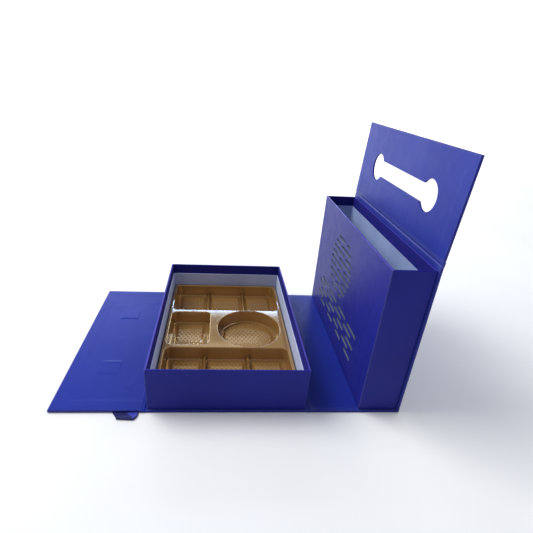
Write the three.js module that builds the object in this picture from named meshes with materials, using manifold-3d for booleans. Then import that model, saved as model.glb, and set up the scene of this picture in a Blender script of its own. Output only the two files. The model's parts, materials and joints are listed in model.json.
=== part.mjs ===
// Mooncake gift case: five paper-hinged board panels, a cake box with a formed tray, and a pierced gift box.
// The case lies open: base and spine are flat, the gift box stands on its end, the handle flap above it.
import * as THREE from 'three';
import { mergeVertices } from 'three/addons/utils/BufferGeometryUtils.js';
import Module from 'manifold-3d';

const wasm = await Module();
wasm.setup();

// Driving dimensions, in millimetres and degrees
const CASE_DEPTH = 310;
const BOX_WIDTH = 210;
const BOX_SETBACK = 3;
const CAKE_BOX_HEIGHT = 65.5;
const GIFT_BOX_THICKNESS = 53;

// Sheet stock
const PANEL_BOARD = 2;
const WALL_BOARD = 2;
const PAPER = 0.25;
const GLUE = 0.1;
const PANEL_TURN_IN = 18;
const PANEL_LINER_INSET = 3;
const RIM_TURN_IN = 24;

// Hinges and closing clearances
const FOLD_PLAY = 0.6;
const LEFT_FLAP_EASE = 1.5;
const LID_PLAY = 0.8;
const FLAP_TOP_PLAY = 0.6;
const HANDLE_FLAP_PLAY = 0.5;
const HANDLE_FLAP_FOOT = 7;
const HANDLE_FLAP_LEAN = 2.5;
const HINGE_STRIP_PLAY = 0.2;
const BACK_FOLD_RADIUS = 1.2;

// Liners of the two boxes
const CAKE_LINER_CARD = 1.5;
const CAKE_LINER_DROP = 18;
const GIFT_LINER_CARD = 0.8;
const GIFT_LINER_DROP = 16.5;

// Formed tray
const TRAY_PLAY = 1.2;
const TRAY_SEAT = 0.3;
const TRAY_HEIGHT = 22.5;
const TRAY_WALL = 0.8;
const TRAY_DRAFT = 4;
const TRAY_RIM = 5;
const TRAY_RIB = 8.5;
const TRAY_CORNER_RADIUS = 6;
const CELL_CORNER_RADIUS = 8;
const MIDDLE_CELL_WIDTH = 65;
const MIDDLE_CELL_DEPTH = 90;
const ROUND_CELL_RADIUS = 51;
const PARTITION_SPACING = 66;
const PARTITION_HEIGHT = 7;
const PARTITION_FOOT = 6;
const PARTITION_CREST = 2;

// Ribbon handle
const STRAP_WIDTH = 30;
const STRAP_THICKNESS = 0.3;
const STRAP_PLAY = 0.2;
const STRAP_TAB = 28;
const STRAP_SLOT = 2.4;
const STRAP_POCKET_PLAY = 0.4;
const STRAP_ANCHOR_FROM_HINGE = 62;
const STRAP_ANCHOR_SPACING = 144;
const STRAP_LOOP_FROM_HINGE = 21;
const STRAP_LOOP_REACH = 14;
const STRAP_LOOP_RADIUS = 1.8;
const STRAP_LOOP_TURN = 16;
const STRAP_BEND_RADIUS = 0.5;

// Handle hole, shaped like a dog bone; on the closed case it sits a little above the ribbon's ends
const HOLE_ABOVE_STRAP = 4;
const HOLE_LOBE_RADIUS = 20;
const HOLE_LOBE_SPACING = 166;
const HOLE_NECK = 23.5;

// Magnets
const MAGNET_RADIUS = 6;
const MAGNET_THICKNESS = 1;
const MAGNET_FROM_FREE_EDGE = 20;
const MAGNET_FROM_PANEL_END = 45;

// Pierced moon over rippled water on the gift box face
const SLIT_HEIGHT = 4.6;
const SLIT_PITCH = 10.5;
const SLIT_BRIDGE = 8;
const MOON_RADIUS = 50;
const MOON_ABOVE_CENTRE = 28;
const MOON_SIDEWAYS = 16;
const MOON_SPLIT = 1 / 3;
const RIPPLE_ROWS = 5;
const RIPPLE_BELOW_MOON = 9;
const RIPPLE_LENGTH = 42;
const RIPPLE_SHRINK = 3;
const RIPPLE_STAGGER = 17;
const RIPPLE_COUNT = 4;

// Facets
const OVERCUT = 1;
const WELD = 1e-4;
const SLIT_END_STEPS = 3;
const HOLE_STEPS = 20;
const BEND_STEPS = 5;
const CORNER_STEPS = 4;
const ROUND_CELL_STEPS = 10;
const MAGNET_STEPS = 24;
const LOOP_STEPS = 10;
const LEG_STEPS = 4;

// Levels in a panel, counted from its hinge axis, which lies in the middle of the outer paper
const AXIS_LEVEL = PAPER / 2;
const PANEL_BOTTOM = -AXIS_LEVEL;
const BOARD_BOTTOM = PANEL_BOTTOM + PAPER + GLUE;
const BOARD_TOP = BOARD_BOTTOM + PANEL_BOARD;
const TURN_IN_TOP = BOARD_TOP + GLUE + PAPER;
const PANEL_TOP = TURN_IN_TOP + GLUE + PAPER;
const HALF_DEPTH = CASE_DEPTH / 2;

// Hinge axes, from the way the case closes: spine up, gift box face down, left flap up, handle flap over it
const HALF_GAP = PANEL_TOP + FOLD_PLAY;
const BASE_HALF = BOX_WIDTH / 2;
const SPINE_AXIS_X = BASE_HALF + HALF_GAP;
const LEFT_AXIS_X = -(BASE_HALF + HALF_GAP + LEFT_FLAP_EASE);
const STRAP_ROOM = 2 * (STRAP_THICKNESS + STRAP_PLAY);
const LEFT_AXIS_Z = STRAP_ROOM + AXIS_LEVEL;
const BOX_BOTTOM = PANEL_TOP + GLUE;
const CLOSED_INSIDE = AXIS_LEVEL + BOX_BOTTOM + CAKE_BOX_HEIGHT + LID_PLAY + GIFT_BOX_THICKNESS + GLUE;
const SPINE_PITCH = CLOSED_INSIDE + PANEL_TOP - AXIS_LEVEL;
const BACK_AXIS_X = SPINE_AXIS_X + SPINE_PITCH;
const CLOSED_BACK_AXIS_Z = AXIS_LEVEL + SPINE_PITCH;
const LEFT_FLAP_END = CLOSED_INSIDE - FLAP_TOP_PLAY - LEFT_AXIS_Z;
const CLOSED_STRAP_X = LEFT_AXIS_X - LEFT_AXIS_Z;
const HANDLE_AXIS = SPINE_AXIS_X + PANEL_TOP - CLOSED_STRAP_X + HANDLE_FLAP_PLAY;
const HANDLE_FLAP_END = CLOSED_BACK_AXIS_Z - HANDLE_FLAP_FOOT;
const STRAP_FROM_HANDLE_HINGE = CLOSED_BACK_AXIS_Z - LEFT_AXIS_Z - STRAP_ANCHOR_FROM_HINGE;
const HOLE_FROM_HINGE = STRAP_FROM_HANDLE_HINGE - HOLE_ABOVE_STRAP;
const HANDLE_MAGNET_FROM_HINGE = HANDLE_FLAP_END - MAGNET_FROM_FREE_EDGE;
const LEFT_MAGNET_FROM_HINGE = CLOSED_BACK_AXIS_Z - HANDLE_MAGNET_FROM_HINGE - LEFT_AXIS_Z;

// A box wall: wrap, board and the wrap's turn-in
const SKIN = PAPER + GLUE;
const BOX_WALL = WALL_BOARD + 2 * SKIN;
const BOX_HALF_DEPTH = HALF_DEPTH - BOX_SETBACK;

const BLUE_WRAP = { color: 0x262a7c, roughness: 0.42, metalness: 0 };
const BLUE_LINER = { color: 0x4a55b0, roughness: 0.45, metalness: 0 };
const GREY_BOARD = { color: 0x8f8a80, roughness: 0.9, metalness: 0 };
const LINER_CARD = { color: 0xb8bac4, roughness: 0.75, metalness: 0 };
const TRAY_GOLD = { color: 0xa98246, roughness: 0.22, metalness: 0 };
const RIBBON = { color: 0x3a44a0, roughness: 0.5, metalness: 0 };
const MAGNET_STEEL = { color: 0x9da0a4, roughness: 0.3, metalness: 1 };

// A closed three.js geometry as a solid that can be joined and cut
function solid(geometry) {
  const bare = geometry.clone();
  bare.deleteAttribute('normal');
  bare.deleteAttribute('uv');
  const merged = mergeVertices(bare, WELD);
  const mesh = new wasm.Mesh({
    numProp: 3,
    vertProperties: new Float32Array(merged.attributes.position.array),
    triVerts: new Uint32Array(merged.index.array),
  });
  return new wasm.Manifold(mesh);
}

// A solid back as a three.js geometry
function geometryOf(made) {
  const mesh = made.getMesh();
  const geometry = new THREE.BufferGeometry();
  geometry.setAttribute('position', new THREE.BufferAttribute(new Float32Array(mesh.vertProperties), 3));
  geometry.setIndex(new THREE.BufferAttribute(new Uint32Array(mesh.triVerts), 1));
  geometry.computeVertexNormals();
  return geometry;
}

// A rectangular block between two opposite corners
function block([x0, y0, z0], [x1, y1, z1]) {
  const geometry = new THREE.BoxGeometry(x1 - x0, y1 - y0, z1 - z0);
  geometry.translate((x0 + x1) / 2, (y0 + y1) / 2, (z0 + z1) / 2);
  return solid(geometry);
}

// An outline in X and Y raised from one level to another
function raised(shape, bottom, top, steps) {
  const options = { depth: top - bottom, bevelEnabled: false, curveSegments: steps };
  const geometry = new THREE.ExtrudeGeometry(shape, options);
  geometry.translate(0, 0, bottom);
  return solid(geometry);
}

// A profile in X and Z run along the whole depth of the case
function runAlongDepth(profile, steps) {
  const options = { depth: CASE_DEPTH, bevelEnabled: false, curveSegments: steps };
  const geometry = new THREE.ExtrudeGeometry(profile, options);
  geometry.translate(0, 0, -HALF_DEPTH);
  geometry.rotateX(Math.PI / 2);
  return solid(geometry);
}

// A closed skin through rings of the same number of points, with flat ends
function skinned(rings) {
  const count = rings[0].length;
  const points = rings.flatMap((ring) => ring.flatMap((point) => point.toArray()));
  const faces = [];
  for (let ring = 0; ring + 1 < rings.length; ring += 1) {
    for (let i = 0; i < count; i += 1) {
      const here = ring * count + i;
      const next = ring * count + ((i + 1) % count);
      faces.push(here, next, next + count, here, next + count, here + count);
    }
  }
  const last = (rings.length - 1) * count;
  for (let i = 1; i + 1 < count; i += 1) {
    faces.push(0, i + 1, i, last, last + i, last + i + 1);
  }
  const geometry = new THREE.BufferGeometry();
  geometry.setAttribute('position', new THREE.Float32BufferAttribute(points, 3));
  geometry.setIndex(faces);
  return geometry;
}

// A round-cornered ring of points at one level
function roundedRing(cell, grow, level) {
  const reach = [cell.half[0] + grow, cell.half[1] + grow];
  const radius = Math.min(Math.max(cell.radius + grow, PAPER), ...reach);
  const ring = [];
  for (let quarter = 0; quarter < 4; quarter += 1) {
    const signX = quarter === 0 || quarter === 3 ? 1 : -1;
    const signY = quarter < 2 ? 1 : -1;
    const centreX = cell.centre[0] + signX * (reach[0] - radius);
    const centreY = cell.centre[1] + signY * (reach[1] - radius);
    for (let step = 0; step <= cell.steps; step += 1) {
      const angle = ((quarter + step / cell.steps) * Math.PI) / 2;
      const x = centreX + radius * Math.cos(angle);
      const y = centreY + radius * Math.sin(angle);
      ring.push(new THREE.Vector3(x, y, level));
    }
  }
  return ring;
}

// A drafted block with round corners between two levels
function drafted(cell, bottom, bottomGrow, top, topGrow) {
  return solid(skinned([roundedRing(cell, bottomGrow, bottom), roundedRing(cell, topGrow, top)]));
}

// A slot with round ends, lying along Y
function slotShape(x, from, to, radius) {
  const shape = new THREE.Shape();
  shape.absarc(x, to - radius, radius, 0, Math.PI, false);
  shape.absarc(x, from + radius, radius, Math.PI, 2 * Math.PI, false);
  return shape;
}

function piece(group, name, made, look) {
  const material = new THREE.MeshStandardMaterial(look);
  const mesh = new THREE.Mesh(geometryOf(made), material);
  mesh.name = name;
  group.add(mesh);
}

// The layers of a panel that lies along +X from its hinge axis, outer side down
function panelLayers(from, to, freeEnd) {
  const endOf = (inset) => (freeEnd ? to - inset : to);
  const cutEndOf = (inset) => (freeEnd ? to - inset : to + OVERCUT);
  const boardRoom = block(
    [from - OVERCUT, -HALF_DEPTH + PAPER, PANEL_BOTTOM + PAPER],
    [cutEndOf(PAPER), HALF_DEPTH - PAPER, TURN_IN_TOP - PAPER],
  );
  const window = block(
    [from - OVERCUT, -HALF_DEPTH + PANEL_TURN_IN, BOARD_BOTTOM],
    [cutEndOf(PANEL_TURN_IN), HALF_DEPTH - PANEL_TURN_IN, TURN_IN_TOP + OVERCUT],
  );
  const sleeve = block([from, -HALF_DEPTH, PANEL_BOTTOM], [to, HALF_DEPTH, TURN_IN_TOP]);
  const wrap = sleeve.subtract(boardRoom).subtract(window);
  const board = block(
    [from, -HALF_DEPTH + SKIN, BOARD_BOTTOM],
    [endOf(SKIN), HALF_DEPTH - SKIN, BOARD_TOP],
  );
  const liner = block(
    [from, -HALF_DEPTH + PANEL_LINER_INSET, TURN_IN_TOP + GLUE],
    [endOf(PANEL_LINER_INSET), HALF_DEPTH - PANEL_LINER_INSET, PANEL_TOP],
  );
  return { board, wrap, liner };
}

function addPanel(group, name, layers) {
  piece(group, `${name}_board`, layers.board, GREY_BOARD);
  piece(group, `${name}_wrap`, layers.wrap, BLUE_WRAP);
  piece(group, `${name}_liner`, layers.liner, BLUE_LINER);
}

// Magnets let into the inner side of a flap's board, one on each side of the middle
function addMagnets(group, name, layers, fromHinge) {
  const bottom = BOARD_TOP - GLUE - MAGNET_THICKNESS;
  const sides = [['near', -group.userData.far], ['far', group.userData.far]];
  for (const [side, sign] of sides) {
    const y = sign * (HALF_DEPTH - MAGNET_FROM_PANEL_END);
    const disc = new THREE.Shape().absarc(fromHinge, y, MAGNET_RADIUS, 0, 2 * Math.PI, false);
    const pocket = new THREE.Shape().absarc(fromHinge, y, MAGNET_RADIUS + GLUE, 0, 2 * Math.PI, false);
    layers.board = layers.board.subtract(raised(pocket, bottom - GLUE, BOARD_TOP + OVERCUT, MAGNET_STEPS));
    const magnet = raised(disc, bottom, bottom + MAGNET_THICKNESS, MAGNET_STEPS);
    piece(group, `${name}_magnet_${side}`, magnet, MAGNET_STEEL);
  }
}

// Cake box, from the panel's inner face up, open at the top
function addCakeBox(group) {
  const bottom = BOX_BOTTOM;
  const rim = BOX_BOTTOM + CAKE_BOX_HEIGHT;
  const across = (inset) => BASE_HALF - inset;
  const along = (inset) => BOX_HALF_DEPTH - inset;
  const upright = (inset, from, to) => block(
    [-across(inset), -along(inset), from],
    [across(inset), along(inset), to],
  );
  const turnIn = upright(SKIN + WALL_BOARD + GLUE, rim - RIM_TURN_IN, rim)
    .subtract(upright(BOX_WALL, rim - RIM_TURN_IN - OVERCUT, rim + OVERCUT));
  const wrap = upright(0, bottom, rim)
    .subtract(upright(PAPER, bottom - OVERCUT, rim - PAPER))
    .subtract(upright(BOX_WALL, bottom, rim + OVERCUT))
    .add(turnIn);
  piece(group, 'cake_box_wrap', wrap, BLUE_WRAP);

  const boardTop = rim - SKIN;
  const inside = SKIN + WALL_BOARD;
  const floorTop = bottom + WALL_BOARD;
  for (const [side, sign] of [['front', -1], ['rear', 1]]) {
    const faces = [sign * along(SKIN), sign * along(inside)].sort((a, b) => a - b);
    const wall = block([-across(SKIN), faces[0], bottom], [across(SKIN), faces[1], boardTop]);
    piece(group, `cake_box_${side}_board`, wall, GREY_BOARD);
  }
  for (const [side, sign] of [['left', -1], ['right', 1]]) {
    const faces = [sign * across(SKIN), sign * across(inside)].sort((a, b) => a - b);
    const ends = along(inside + GLUE);
    const wall = block([faces[0], -ends, bottom], [faces[1], ends, boardTop]);
    piece(group, `cake_box_${side}_board`, wall, GREY_BOARD);
  }
  piece(group, 'cake_box_floor_board', upright(inside + GLUE, bottom, floorTop), GREY_BOARD);

  const linerFace = BOX_WALL + GLUE;
  const linerTop = rim - CAKE_LINER_DROP;
  const collar = upright(linerFace, floorTop + GLUE, linerTop)
    .subtract(upright(linerFace + CAKE_LINER_CARD, floorTop, linerTop + OVERCUT));
  piece(group, 'cake_box_liner', collar, LINER_CARD);
  addTray(group, floorTop + TRAY_SEAT, linerFace + CAKE_LINER_CARD + TRAY_PLAY);
}

// Formed tray: a skirt and flange with two partitioned rows, an oblong cell and a round cell
function addTray(group, bottom, inset) {
  const top = bottom + TRAY_HEIGHT;
  const slope = Math.tan((TRAY_DRAFT * Math.PI) / 180);
  const halfWidth = BASE_HALF - inset;
  const halfDepth = BOX_HALF_DEPTH - inset;
  const draw = TRAY_HEIGHT * slope;
  const edge = halfWidth - draw - TRAY_RIM;
  const rowInner = MIDDLE_CELL_DEPTH / 2 + TRAY_RIB;
  const rowOuter = halfDepth - draw - TRAY_RIM;
  const rowCentre = (rowInner + rowOuter) / 2;
  const row = (sign) => ({
    centre: [0, sign * rowCentre],
    half: [edge, (rowOuter - rowInner) / 2],
    radius: CELL_CORNER_RADIUS,
    steps: CORNER_STEPS,
  });
  const oblong = {
    centre: [-edge + MIDDLE_CELL_WIDTH / 2, 0],
    half: [MIDDLE_CELL_WIDTH / 2, MIDDLE_CELL_DEPTH / 2],
    radius: CELL_CORNER_RADIUS,
    steps: CORNER_STEPS,
  };
  const roundFrom = -edge + MIDDLE_CELL_WIDTH + TRAY_RIB;
  const round = {
    centre: [(roundFrom + edge) / 2, 0],
    half: [ROUND_CELL_RADIUS, ROUND_CELL_RADIUS],
    radius: ROUND_CELL_RADIUS,
    steps: ROUND_CELL_STEPS,
  };
  const body = {
    centre: [0, 0],
    half: [halfWidth, halfDepth],
    radius: TRAY_CORNER_RADIUS,
    steps: CORNER_STEPS,
  };
  const skirt = drafted(body, bottom, 0, top, -draw);
  const hollowGrow = (level) => -TRAY_WALL - (level - bottom) * slope;
  const hollowFrom = bottom - OVERCUT;
  const hollowTo = top - TRAY_WALL;
  const hollow = drafted(body, hollowFrom, hollowGrow(hollowFrom), hollowTo, hollowGrow(hollowTo));
  let tray = skirt.subtract(hollow);
  const cells = [row(-1), row(1), oblong, round];
  const growAt = (level) => (level - top) * slope;
  const cupTop = top - TRAY_WALL / 2;
  const cup = (cell) => drafted(cell, bottom, growAt(bottom) + TRAY_WALL, cupTop, growAt(cupTop) + TRAY_WALL);
  for (const cell of cells) {
    tray = tray.add(cup(cell));
  }
  for (const cell of cells) {
    const floor = bottom + TRAY_WALL;
    const mouth = top + OVERCUT;
    tray = tray.subtract(drafted(cell, floor, growAt(floor), mouth, growAt(mouth)));
  }
  for (const sign of [-1, 1]) {
    for (const side of [-1, 1]) {
      const ridge = partition((side * PARTITION_SPACING) / 2, bottom + TRAY_WALL / 2, bottom + TRAY_WALL);
      tray = tray.add(ridge.intersect(cup(row(sign))));
    }
  }
  piece(group, 'mooncake_tray', tray, TRAY_GOLD);
}

// A low ridge across a row of cells
function partition(x, from, floor) {
  const profile = new THREE.Shape();
  profile.moveTo(x - PARTITION_FOOT / 2, from);
  profile.lineTo(x + PARTITION_FOOT / 2, from);
  profile.lineTo(x + PARTITION_CREST / 2, floor + PARTITION_HEIGHT);
  profile.lineTo(x - PARTITION_CREST / 2, floor + PARTITION_HEIGHT);
  profile.closePath();
  return runAlongDepth(profile, 1);
}

// Slits of the pierced face as [height, from, to]: a full moon above rows of staggered ripples
function slits(faceCentre) {
  const found = [];
  const moonHeight = faceCentre + MOON_ABOVE_CENTRE;
  const moonRows = Math.floor((MOON_RADIUS - SLIT_HEIGHT / 2) / SLIT_PITCH);
  for (let row = -moonRows; row <= moonRows; row += 1) {
    const rise = row * SLIT_PITCH;
    const reach = Math.sqrt(MOON_RADIUS ** 2 - rise ** 2);
    const side = row % 2 === 0 ? -1 : 1;
    const split = MOON_SIDEWAYS + side * reach * MOON_SPLIT;
    found.push([moonHeight + rise, MOON_SIDEWAYS - reach, split - SLIT_BRIDGE / 2]);
    found.push([moonHeight + rise, split + SLIT_BRIDGE / 2, MOON_SIDEWAYS + reach]);
  }
  const rippleTop = moonHeight - MOON_RADIUS - RIPPLE_BELOW_MOON;
  for (let row = 0; row < RIPPLE_ROWS; row += 1) {
    const length = RIPPLE_LENGTH - RIPPLE_SHRINK * row;
    const pitch = RIPPLE_LENGTH + SLIT_BRIDGE;
    const shift = row % 2 === 0 ? 0 : RIPPLE_STAGGER;
    for (let i = 0; i < RIPPLE_COUNT; i += 1) {
      const middle = (i - (RIPPLE_COUNT - 1) / 2) * pitch + shift;
      found.push([rippleTop - row * SLIT_PITCH, middle - length / 2, middle + length / 2]);
    }
  }
  return found;
}

// Gift box, with its height along +X from the back hinge and its pierced face up
function addGiftBox(group) {
  const from = HALF_GAP;
  const rim = from + BOX_WIDTH;
  const back = PANEL_TOP + GLUE;
  const face = back + GIFT_BOX_THICKNESS;
  const along = (inset) => BOX_HALF_DEPTH - inset;
  const inside = SKIN + WALL_BOARD;
  const backInside = back + WALL_BOARD;
  const mouth = block(
    [rim - RIM_TURN_IN - OVERCUT, -along(BOX_WALL), backInside + SKIN],
    [rim + OVERCUT, along(BOX_WALL), face - BOX_WALL],
  );
  const turnIn = block(
    [rim - RIM_TURN_IN, -along(inside + GLUE), backInside + GLUE],
    [rim, along(inside + GLUE), face - inside - GLUE],
  ).subtract(mouth);
  const boardRoom = block(
    [from + PAPER, -along(PAPER), back - OVERCUT],
    [rim - PAPER, along(PAPER), face - PAPER],
  );
  let wrap = block([from, -along(0), back], [rim, along(0), face])
    .subtract(boardRoom)
    .subtract(mouth)
    .add(turnIn);
  const boardFrom = from + SKIN;
  const boardTo = rim - SKIN;
  let faceBoard = block([boardFrom, -along(SKIN), face - inside], [boardTo, along(SKIN), face - SKIN]);
  for (const [height, start, end] of slits((from + rim) / 2)) {
    const outline = slotShape(height, start, end, SLIT_HEIGHT / 2);
    const slit = raised(outline, face - BOX_WALL, face + OVERCUT, SLIT_END_STEPS);
    wrap = wrap.subtract(slit);
    faceBoard = faceBoard.subtract(slit);
  }
  piece(group, 'gift_box_wrap', wrap, BLUE_WRAP);
  piece(group, 'gift_box_face_board', faceBoard, GREY_BOARD);

  const backBoard = block([boardFrom, -along(SKIN), back], [boardTo, along(SKIN), backInside]);
  piece(group, 'gift_box_back_board', backBoard, GREY_BOARD);
  const between = [backInside + GLUE, face - inside - GLUE];
  for (const [side, sign] of [['near', -1], ['far', 1]]) {
    const faces = [sign * along(SKIN), sign * along(inside)].sort((a, b) => a - b);
    const end = block([boardFrom, faces[0], between[0]], [boardTo, faces[1], between[1]]);
    piece(group, `gift_box_${side}_board`, end, GREY_BOARD);
  }
  const ends = along(inside + GLUE);
  const bottomTop = boardFrom + WALL_BOARD;
  const bottomBoard = block([boardFrom, -ends, between[0]], [bottomTop, ends, between[1]]);
  piece(group, 'gift_box_bottom_board', bottomBoard, GREY_BOARD);

  const linerAlong = along(BOX_WALL + GLUE);
  const linerBack = backInside + SKIN + GLUE;
  const linerFront = face - BOX_WALL - GLUE;
  const linerFrom = bottomTop + GLUE;
  const linerTop = rim - GIFT_LINER_DROP;
  const liner = block([linerFrom, -linerAlong, linerBack], [linerTop, linerAlong, linerFront]).subtract(block(
    [linerFrom + GIFT_LINER_CARD, -linerAlong + GIFT_LINER_CARD, linerBack + GIFT_LINER_CARD],
    [linerTop + OVERCUT, linerAlong - GIFT_LINER_CARD, linerFront + OVERCUT],
  ));
  piece(group, 'gift_box_liner', liner, LINER_CARD);
}

// Ribbon handle: both ends come up through slots in the left flap, and the rest lies doubled beneath it,
// with its fold pushed out past the front edge.
function strapPath() {
  const floor = PANEL_BOTTOM - STRAP_ROOM + STRAP_THICKNESS / 2;
  const upper = PANEL_BOTTOM - STRAP_PLAY - STRAP_THICKNESS / 2;
  const tabLevel = BOARD_TOP - GLUE - STRAP_THICKNESS / 2;
  const outer = STRAP_ANCHOR_SPACING / 2 + STRAP_TAB / 2;
  const inner = outer - STRAP_TAB;
  const anchor = STRAP_ANCHOR_FROM_HINGE;
  const loopStart = HALF_DEPTH + STRAP_PLAY + STRAP_THICKNESS;
  const loop = new THREE.Vector2(STRAP_LOOP_FROM_HINGE, loopStart);
  const farHeading = Math.atan2(anchor - loop.x, loop.y + inner);
  const loopHeading = (STRAP_LOOP_TURN * Math.PI) / 180;
  const stations = [];
  const station = (x, y, z, heading) => {
    stations.push({
      point: new THREE.Vector3(x, y, z),
      across: new THREE.Vector3(Math.cos(heading), Math.sin(heading), 0),
    });
  };
  // Through a slot, between the tab above the board and the leg below the flap
  const throughSlot = (y, high, low, order) => {
    const turn = STRAP_BEND_RADIUS;
    const bends = [
      [y - turn, high],
      [y, high - turn],
      [y, low + turn],
      [y + turn, low],
    ];
    const listed = order > 0 ? bends : bends.reverse();
    listed.forEach(([place, level]) => station(anchor, place, level, 0));
  };
  // A straight leg, turning within its own plane from one heading to another
  const leg = (fromX, fromY, toX, toY, level, headings) => {
    for (let step = 1; step <= LEG_STEPS; step += 1) {
      const share = step / (LEG_STEPS + 1);
      const x = fromX + (toX - fromX) * share;
      const y = fromY + (toY - fromY) * share;
      station(x, y, level, headings(share));
    }
  };
  station(anchor, -outer, tabLevel, 0);
  throughSlot(-inner, tabLevel, floor, 1);
  leg(anchor, -inner, loop.x, loop.y, floor, () => farHeading);
  const straight = STRAP_LOOP_REACH - STRAP_LOOP_RADIUS - STRAP_THICKNESS;
  const crown = floor + STRAP_LOOP_RADIUS;
  for (let step = 0; step <= LOOP_STEPS; step += 1) {
    const share = step / LOOP_STEPS;
    const heading = farHeading + (loopHeading - farHeading) * share;
    const angle = (share - 0.5) * Math.PI;
    const ahead = straight + STRAP_LOOP_RADIUS * Math.cos(angle);
    const x = loop.x - ahead * Math.sin(heading);
    const y = loop.y + ahead * Math.cos(heading);
    station(x, y, crown + STRAP_LOOP_RADIUS * Math.sin(angle), heading);
  }
  const top = crown + STRAP_LOOP_RADIUS;
  const clear = (STRAP_WIDTH / 2) * Math.sin(loopHeading) + STRAP_PLAY;
  for (let step = 1; step <= LEG_STEPS; step += 1) {
    const share = step / LEG_STEPS;
    const ahead = straight + (clear - straight) * share;
    const level = upper + (top - upper) * (0.5 + 0.5 * Math.cos(share * Math.PI));
    const x = loop.x - ahead * Math.sin(loopHeading);
    const y = loop.y + ahead * Math.cos(loopHeading);
    station(x, y, level, loopHeading);
  }
  const { point } = stations[stations.length - 1];
  const nearHeading = Math.atan2(anchor - point.x, point.y - outer);
  const turning = (share) => loopHeading + (nearHeading - loopHeading) * share;
  leg(point.x, point.y, anchor, outer, upper, turning);
  throughSlot(outer, tabLevel, upper, -1);
  station(anchor, inner, tabLevel, 0);
  return stations;
}

function strapSolid() {
  const stations = strapPath();
  const rings = stations.map(({ point, across }, i) => {
    const before = stations[Math.max(i - 1, 0)].point;
    const after = stations[Math.min(i + 1, stations.length - 1)].point;
    const ahead = after.clone().sub(before);
    const upward = across.clone().cross(ahead).normalize().multiplyScalar(STRAP_THICKNESS / 2);
    const aside = across.clone().multiplyScalar(STRAP_WIDTH / 2);
    const corners = [[1, 1], [1, -1], [-1, -1], [-1, 1]];
    return corners.map(([sideways, rise]) => point.clone()
      .addScaledVector(aside, sideways)
      .addScaledVector(upward, rise));
  });
  return solid(skinned(rings));
}

// Slots and tab pockets for the ribbon in the left flap
function cutStrapSeats(layers) {
  const anchor = STRAP_ANCHOR_FROM_HINGE;
  const half = STRAP_WIDTH / 2 + STRAP_POCKET_PLAY;
  const outer = STRAP_ANCHOR_SPACING / 2 + STRAP_TAB / 2;
  const inner = outer - STRAP_TAB;
  const pocketFloor = BOARD_TOP - STRAP_THICKNESS - 2 * GLUE;
  for (const slot of [-inner, outer]) {
    const opening = block(
      [anchor - half, slot - STRAP_SLOT / 2, PANEL_BOTTOM - OVERCUT],
      [anchor + half, slot + STRAP_SLOT / 2, BOARD_TOP + OVERCUT],
    );
    const pocket = block(
      [anchor - half, slot - STRAP_TAB - STRAP_POCKET_PLAY, pocketFloor],
      [anchor + half, slot, BOARD_TOP + OVERCUT],
    );
    layers.board = layers.board.subtract(opening).subtract(pocket);
    layers.wrap = layers.wrap.subtract(opening);
  }
}

function handleHole() {
  const x = HOLE_FROM_HINGE;
  const reach = HOLE_LOBE_SPACING / 2;
  const meet = Math.acos(HOLE_NECK / 2 / HOLE_LOBE_RADIUS);
  const shape = new THREE.Shape();
  shape.absarc(x, reach, HOLE_LOBE_RADIUS, -meet, Math.PI + meet, false);
  shape.absarc(x, -reach, HOLE_LOBE_RADIUS, Math.PI - meet, 2 * Math.PI + meet, false);
  return raised(shape, PANEL_BOTTOM - OVERCUT, PANEL_TOP + OVERCUT, HOLE_STEPS);
}

// Strips of the outer paper that bridge the gaps between the panels
function flatStrip(from, to, bottom) {
  return block([from, -HALF_DEPTH, bottom], [to, HALF_DEPTH, bottom + PAPER]);
}

function leftHingeStrip() {
  const from = -BASE_HALF - HINGE_STRIP_PLAY;
  const to = LEFT_AXIS_X - HALF_GAP + HINGE_STRIP_PLAY;
  const profile = new THREE.Shape();
  profile.moveTo(to, LEFT_AXIS_Z + PANEL_BOTTOM);
  profile.lineTo(from, 0);
  profile.lineTo(from, PAPER);
  profile.lineTo(to, LEFT_AXIS_Z + PANEL_BOTTOM + PAPER);
  profile.closePath();
  return runAlongDepth(profile, 1);
}

function backHingeStrip() {
  const from = BACK_AXIS_X - HALF_GAP + HINGE_STRIP_PLAY;
  const outside = BACK_AXIS_X + AXIS_LEVEL;
  const top = AXIS_LEVEL + HALF_GAP - HINGE_STRIP_PLAY;
  const radius = BACK_FOLD_RADIUS;
  const centre = outside - radius;
  const profile = new THREE.Shape();
  profile.moveTo(from, 0);
  profile.absarc(centre, radius, radius, -Math.PI / 2, 0, false);
  profile.lineTo(outside, top);
  profile.lineTo(outside - PAPER, top);
  profile.absarc(centre, radius, radius - PAPER, 0, -Math.PI / 2, true);
  profile.lineTo(from, PAPER);
  profile.closePath();
  return runAlongDepth(profile, BEND_STEPS);
}

const group = new THREE.Group();

const base = new THREE.Group();
base.position.z = AXIS_LEVEL;
group.add(base);
addPanel(base, 'base', panelLayers(-BASE_HALF, BASE_HALF, false));
addCakeBox(base);

// The left flap points the other way, so its own +Y is the front of the case
const leftFlap = new THREE.Group();
leftFlap.position.set(LEFT_AXIS_X, 0, LEFT_AXIS_Z);
leftFlap.rotation.z = Math.PI;
leftFlap.userData.far = -1;
group.add(leftFlap);
const leftLayers = panelLayers(HALF_GAP, LEFT_FLAP_END, true);
cutStrapSeats(leftLayers);
addMagnets(leftFlap, 'left_flap', leftLayers, LEFT_MAGNET_FROM_HINGE);
addPanel(leftFlap, 'left_flap', leftLayers);
piece(leftFlap, 'handle_strap', strapSolid(), RIBBON);

const spine = new THREE.Group();
spine.position.set(SPINE_AXIS_X, 0, AXIS_LEVEL);
group.add(spine);
addPanel(spine, 'spine', panelLayers(HALF_GAP, SPINE_PITCH - HALF_GAP, false));

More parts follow.
